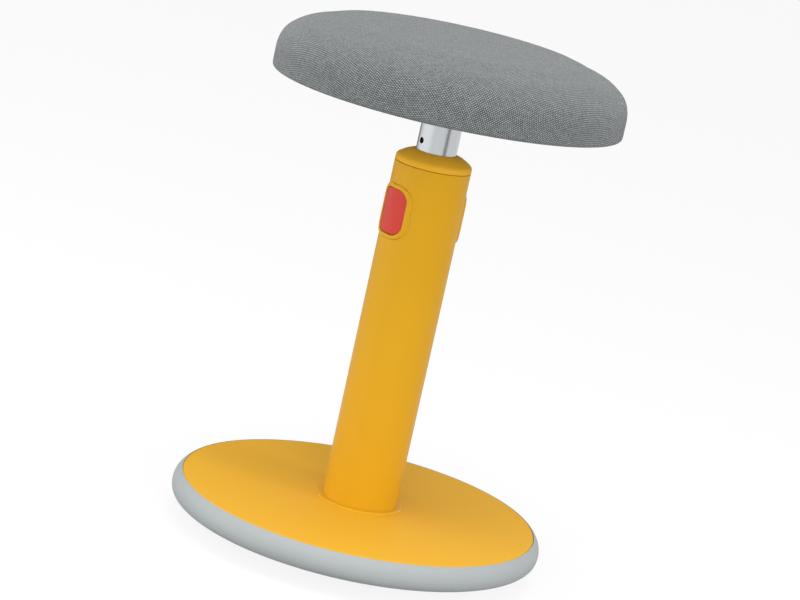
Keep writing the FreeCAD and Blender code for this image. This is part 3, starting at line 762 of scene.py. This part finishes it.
def seat_outline(seat):
    """Outline of the cloth, from the hem's inner edge to near the middle of the crown."""
    inset = seat.swell * INSET_SHARE
    foot = SEAT_FOOT + inset
    hem_r = SEAT_RADIUS - seat.hem_width
    side_r = SEAT_RADIUS - inset
    side_z = SEAT_FOOT + seat.side
    bend = max(seat.foot_round - inset, MM)
    flat = side_r - bend - hem_r
    outline = [(hem_r + flat * k / HEM_RINGS, foot) for k in range(HEM_RINGS + 1)]
    outline += arc_points(outline[-1], (side_r - bend, foot + bend), math.pi / 2, FOOT_RINGS)
    low = outline[-1][1]
    rise = side_z - low
    outline += [(side_r, low + rise * k / SIDE_RINGS) for k in range(1, SIDE_RINGS + 1)]
    slope = crown_slope(seat)
    centre = (SEAT_RADIUS - seat.shoulder, side_z)
    outline += arc_points(outline[-1], centre, math.pi / 2 - slope, SHOULDER_RINGS)
    join_r, join_z = outline[-1]
    crown_radius = join_r / math.sin(slope)
    crown_centre = join_z - crown_radius * math.cos(slope)
    for k in range(1, CROWN_RINGS):
        r = join_r * (1 - k / CROWN_RINGS)
        outline.append((r, crown_centre + math.sqrt(crown_radius**2 - r**2)))
    return outline


def lay_cloth(piece, seat, outline):
    """UV map measured along the cloth, so that the weave keeps its pitch down the side."""
    reach = [outline[-1][0]]
    for (r0, z0), (r1, z1) in zip(outline[::-1], outline[-2::-1]):
        reach.append(reach[-1] + math.hypot(r1 - r0, z1 - z0))
    reach = [*reversed(reach), 0.0]
    turn = Matrix.Rotation(-seat.lay_turn, 2)
    lay = piece.data.uv_layers.new(name="Lay")
    for loop in piece.data.loops:
        flat = piece.data.vertices[loop.vertex_index].co.xy
        if flat.length > 0:
            flat = flat.normalized() * reach[loop.vertex_index // seat.segments]
            flat.rotate(turn)
        lay.data[loop.index].uv = flat


def swell_cloth(piece, seat):
    """Foam pushes the cloth out: a short cloth simulation, with its movement capped."""
    rest = [vertex.co.copy() for vertex in piece.data.vertices]
    held_top = SEAT_FOOT + seat.side * HELD_SHARE
    held = piece.vertex_groups.new(name="held")
    held.add([v.index for v in piece.data.vertices if v.co.z < held_top], 1.0, "REPLACE")
    cloth = add_modifier(piece, "CLOTH")
    cloth.settings.vertex_group_mass = held.name
    cloth.settings.use_pressure = True
    cloth.settings.uniform_pressure_force = CLOTH_PRESSURE
    cloth.settings.effector_weights.gravity = 0.0
    cloth.settings.tension_stiffness = CLOTH_STIFFNESS
    cloth.settings.compression_stiffness = CLOTH_STIFFNESS
    cloth.settings.quality = CLOTH_QUALITY
    scene = bpy.context.scene
    for step in range(1, CLOTH_FRAMES + 1):
        scene.frame_set(step)
    apply_modifier(piece, cloth)
    moves = []
    for vertex, start in zip(piece.data.vertices, rest):
        move = vertex.co - start
        if move.length > seat.swell:
            move *= seat.swell / move.length
        moves.append(move)
    tip = len(moves) - 1
    for first in range(0, tip, seat.segments):
        rise = even_ring(piece, seat, rest, moves, range(first, first + seat.segments))
    piece.data.vertices[tip].co = rest[tip] + Vector((0, 0, rise))
    scene.frame_set(1)


def even_ring(piece, seat, rest, moves, ring):
    """Draws a ring of the cloth taut: most of each point's movement is the ring's mean."""
    out = sum(moves[k].xy.dot(rest[k].xy.normalized()) for k in ring) / len(ring)
    rise = sum(moves[k].z for k in ring) / len(ring)
    for k in ring:
        side = rest[k].xy.normalized() * out
        mean = Vector((side.x, side.y, rise))
        piece.data.vertices[k].co = rest[k] + mean.lerp(moves[k], seat.slack)
    return rise


def gather_hem(piece, seat):
    """Folds of the cloth that is pulled in under the board; they fade out at its edge."""
    outer = SEAT_RADIUS - seat.foot_round
    for vertex in piece.data.vertices:
        radius = math.hypot(vertex.co.x, vertex.co.y)
        if vertex.co.z > SEAT_FOOT + MM or radius > outer:
            continue
        turn = math.atan2(vertex.co.y, vertex.co.x) * seat.gathers
        uneven = 1 - GATHER_SPREAD + GATHER_SPREAD * math.sin(turn * GATHER_BEAT + 1)
        fade = min(1.0, (outer - radius) / seat.hem_width)
        vertex.co.z += seat.gather_depth * math.sin(turn) * uneven * fade


class STOOL_OT_seat_cushion(bpy.types.Operator):
    """Woven cover, filled by its foam and turned under the board"""

    bl_idname = "stool.seat_cushion"
    bl_label = "Seat cushion"

    def execute(self, context):
        seat = context.scene.stool_seat
        outline = seat_outline(seat)
        piece = turned("seat_cushion", outline, seat.segments)
        close_tip()
        outward(piece)
        lay_cloth(piece, seat, outline)
        swell_cloth(piece, seat)
        apply_modifier(piece, add_modifier(piece, "SUBSURF", levels=1, render_levels=1))
        gather_hem(piece, seat)
        apply_modifier(piece, add_modifier(piece, "SOLIDIFY", thickness=seat.cloth, offset=-1))
        piece.data.materials.append(weave_material(seat))
        smooth(piece, 60)
        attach(piece, "seat")
        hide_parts("seat_cover", "seat_foam")
        return {"FINISHED"}


class STOOL_OT_hem_staples(bpy.types.Operator):
    """Flat wire staples round the hem under the seat"""

    bl_idname = "stool.hem_staples"
    bl_label = "Hem staples"

    def execute(self, context):
        seat = context.scene.stool_seat
        deselect()
        bpy.ops.mesh.primitive_cube_add(size=1.0, location=(0, 0, 0))
        model = context.object
        put(model, Matrix.Diagonal((*STAPLE_SIZE, 1)))
        apply_modifier(model, add_modifier(model, "BEVEL", width=STAPLE_EDGE, segments=2))
        ring = SEAT_RADIUS - seat.hem_width + STAPLE_INSET
        out = Matrix.Translation((ring, 0, SEAT_FOOT + STAPLE_RISE))
        staples = []
        for k in range(seat.staples):
            turn = 2 * math.pi * k / seat.staples
            lean = math.pi / 2 + STAPLE_LEAN * math.sin(k * STAPLE_BEAT)
            staple = own_copy(model, "staple")
            put(staple, Matrix.Rotation(turn, 4, "Z") @ out @ Matrix.Rotation(lean, 4, "Z"))
            staples.append(staple)
        bpy.data.objects.remove(model)
        deselect()
        for staple in staples:
            staple.select_set(True)
        context.view_layer.objects.active = staples[0]
        bpy.ops.object.join()
        piece = context.object
        piece.name = "hem_staples"
        piece.data.materials.append(bpy.data.materials["zinc_steel"])
        smooth(piece)
        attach(piece, "seat")
        return {"FINISHED"}


def coil_spring(wire, radius, length, turns):
    """Coil along Z about the origin: a circle is screwed up, and its ends are closed."""
    deselect()
    bpy.ops.mesh.primitive_circle_add(
        vertices=WIRE_SIDES,
        radius=wire / 2,
        location=(radius, 0, -length / 2),
        rotation=(math.pi / 2, 0, 0),
    )
    piece = bpy.context.object
    bpy.ops.object.transform_apply(location=True, rotation=True, scale=True)
    steps = COIL_STEPS * turns
    screw = add_modifier(
        piece, "SCREW", angle=2 * math.pi * turns, screw_offset=length, steps=steps, render_steps=steps
    )
    apply_modifier(piece, screw)
    bpy.ops.object.mode_set(mode="EDIT")
    bpy.ops.mesh.select_all(action="SELECT")
    bpy.ops.mesh.remove_doubles(threshold=0.01 * MM)
    bpy.ops.mesh.fill_holes(sides=0)
    bpy.ops.object.mode_set(mode="OBJECT")
    outward(piece)
    return piece


class STOOL_OT_return_springs(bpy.types.Operator):
    """Coil springs behind the buttons"""

    bl_idname = "stool.return_springs"
    bl_label = "Return springs"

    def execute(self, context):
        finish = context.scene.stool_finish
        wire = finish.spring_wire
        low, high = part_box("left_spring")
        length = high[0] - low[0] - wire
        model = coil_spring(wire, (high[1] - low[1] - wire) / 2, length, finish.spring_turns)
        for side in ("left", "right"):
            low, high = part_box(side + "_spring")
            middle = (Vector(low) + Vector(high)) / 2
            piece = own_copy(model, side + "_return_spring")
            put(piece, Matrix.Translation(middle) @ Matrix.Rotation(math.pi / 2, 4, "Y"))
            piece.data.materials.append(bpy.data.materials["zinc_steel"])
            smooth(piece)
            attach(piece, "base")
            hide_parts(side + "_spring")
            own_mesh(piece)
        bpy.data.objects.remove(model)
        return {"FINISHED"}


# Stage


def seen_place(stage, side, beyond, height):
    """Point to the right of, beyond and above the stool's foot, as the camera sees it."""
    right = Vector((math.cos(stage.turn), -math.sin(stage.turn), 0))
    ahead = Vector((math.sin(stage.turn), math.cos(stage.turn), 0))
    return right * side + ahead * beyond + Vector((0, 0, height))


def photo_camera(stage):
    """Camera that stands and looks as the photograph's did."""
    data = bpy.data.cameras.new("camera")
    data.sensor_fit = "HORIZONTAL"
    data.sensor_width = SENSOR_WIDTH
    data.lens = stage.lens
    camera = bpy.data.objects.new("camera", data)
    bpy.context.collection.objects.link(camera)
    turn = Matrix.Rotation(-stage.turn, 4, "Z")
    tilt = Matrix.Rotation(math.pi / 2 - stage.tilt, 4, "X")
    roll = Matrix.Rotation(stage.roll, 4, "Z")
    camera.matrix_world = Matrix.Translation(stage.place) @ turn @ tilt @ roll
    bpy.context.scene.camera = camera


def softbox(name, power, size, place, target, mirrored):
    data = bpy.data.lights.new(name, "AREA")
    data.shape = "RECTANGLE"
    data.size, data.size_y = size
    data.energy = power
    lamp = bpy.data.objects.new(name, data)
    bpy.context.collection.objects.link(lamp)
    lamp.location = place
    lamp.rotation_euler = (target - place).to_track_quat("-Z", "Y").to_euler()
    lamp.visible_glossy = mirrored


def dark_card(name, place, width):
    """Upright dark card that only mirror rays see: it draws a crisp line in bright metal."""
    deselect()
    bpy.ops.mesh.primitive_plane_add(size=1.0, location=(0, 0, 0))
    card = bpy.context.object
    card.name = name
    facing = Matrix.Rotation(math.atan2(place.y, place.x) + math.pi / 2, 4, "Z")
    upright = Matrix.Rotation(math.pi / 2, 4, "X")
    size = Matrix.Diagonal((width, CARD_HEIGHT, 1, 1))
    put(card, Matrix.Translation(place) @ facing @ upright @ size)
    material, tree, shader = new_material(name)
    feed(tree, CARD_GREY, shader.inputs["Base Color"])
    shader.inputs["Roughness"].default_value = 1.0
    shader.inputs["Specular IOR Level"].default_value = 0.0
    card.data.materials.append(material)
    for kind in ("camera", "diffuse", "transmission", "shadow", "volume_scatter"):
        setattr(card, "visible_" + kind, False)


def mix_shaders(tree, factor, first, second):
    mix = tree.nodes.new("ShaderNodeMixShader")
    for socket, value in zip(mix.inputs, (factor, first, second)):
        feed(tree, value, socket)
    return mix.outputs[0]


def backdrop(tree, light, seen):
    """Shader that lights as the first does, and that camera, mirror and glass rays see as the second."""
    rays = tree.nodes.new("ShaderNodeLightPath").outputs
    direct = math_node(tree, "MAXIMUM", rays["Is Camera Ray"], rays["Is Glossy Ray"])
    direct = math_node(tree, "MAXIMUM", direct, rays["Is Transmission Ray"])
    return mix_shaders(tree, direct, light, seen)


def white_surroundings(stage):
    """Weak even light from all round, which camera and metal see as white."""
    world = bpy.data.worlds.new("surroundings")
    bpy.context.scene.world = world
    world.use_nodes = True
    tree = world.node_tree
    soft = tree.nodes["Background"]
    feed(tree, WHITE, soft.inputs["Color"])
    feed(tree, stage.fill, soft.inputs["Strength"])
    white = add_node(tree, "ShaderNodeBackground", Color=WHITE, Strength=1.0)
    mix = backdrop(tree, soft.outputs[0], white.outputs[0])
    tree.links.new(mix, tree.nodes["World Output"].inputs["Surface"])


def pale_floor():
    """Floor that looks almost white and keeps the stool's shadow, and throws back less light."""
    deselect()
    bpy.ops.mesh.primitive_plane_add(size=FLOOR_SIZE, location=(0, 0, -FLOOR_DROP))
    floor = bpy.context.object
    floor.name = "floor"
    material, tree, shader = new_material("floor")
    feed(tree, FLOOR_GREY, shader.inputs["Base Color"])
    shader.inputs["Roughness"].default_value = 0.9
    glow = add_node(tree, "ShaderNodeEmission", Color=WHITE, Strength=1.0)
    pale = add_node(tree, "ShaderNodeBsdfDiffuse", Color=WHITE)
    seen = mix_shaders(tree, FLOOR_GLOW, pale.outputs[0], glow.outputs[0])
    mix = backdrop(tree, shader.outputs[0], seen)
    tree.links.new(mix, tree.nodes["Material Output"].inputs["Surface"])
    floor.data.materials.append(material)


class STOOL_OT_stage(bpy.types.Operator):
    """Camera, softboxes, pale floor and white surroundings"""

    bl_idname = "stool.stage"
    bl_label = "Stage"

    def execute(self, context):
        stage = context.scene.stool_stage
        photo_camera(stage)
        middle = SEAT_TOP / 2
        for name, size, (side, beyond, height), mirrored in SOFTBOXES:
            place = seen_place(stage, side, beyond, middle + height)
            target = Vector((0, 0, middle))
            softbox(name, getattr(stage, name), size, place, target, mirrored)
        for name, side, beyond, width in DARK_CARDS:
            dark_card(name, seen_place(stage, side, beyond, CARD_MIDDLE), width)
        white_surroundings(stage)
        pale_floor()
        context.scene.view_settings.view_transform = "Standard"
        return {"FINISHED"}


class STOOL_PT_panel(bpy.types.Panel):
    """Lists the steps that dress the stool"""

    bl_label = "Wobble stool"
    bl_idname = "STOOL_PT_panel"
    bl_space_type = "VIEW_3D"
    bl_region_type = "UI"
    bl_category = "Stool"

    def draw(self, context):
        for step in STEPS:
            self.layout.operator(step.bl_idname)


STEPS = (
    STOOL_OT_stage,
    STOOL_OT_finishes,
    STOOL_OT_seat_cushion,
    STOOL_OT_hem_staples,
    STOOL_OT_return_springs,
)
SETTINGS = {
    "stool_seat": StoolSeatSettings,
    "stool_finish": StoolFinishSettings,
    "stool_stage": StoolStageSettings,
}
CLASSES = (*SETTINGS.values(), *STEPS, STOOL_PT_panel)


def register():
    for item in CLASSES:
        bpy.utils.register_class(item)
    for name, settings in SETTINGS.items():
        setattr(bpy.types.Scene, name, PointerProperty(type=settings))


def unregister():
    for name in SETTINGS:
        delattr(bpy.types.Scene, name)
    for item in reversed(CLASSES):
        bpy.utils.unregister_class(item)


def main():
    register()
    for step in STEPS:
        family, call = step.bl_idname.split(".")
        getattr(getattr(bpy.ops, family), call)()
    deselect()


if __name__ == "__main__":
    main()
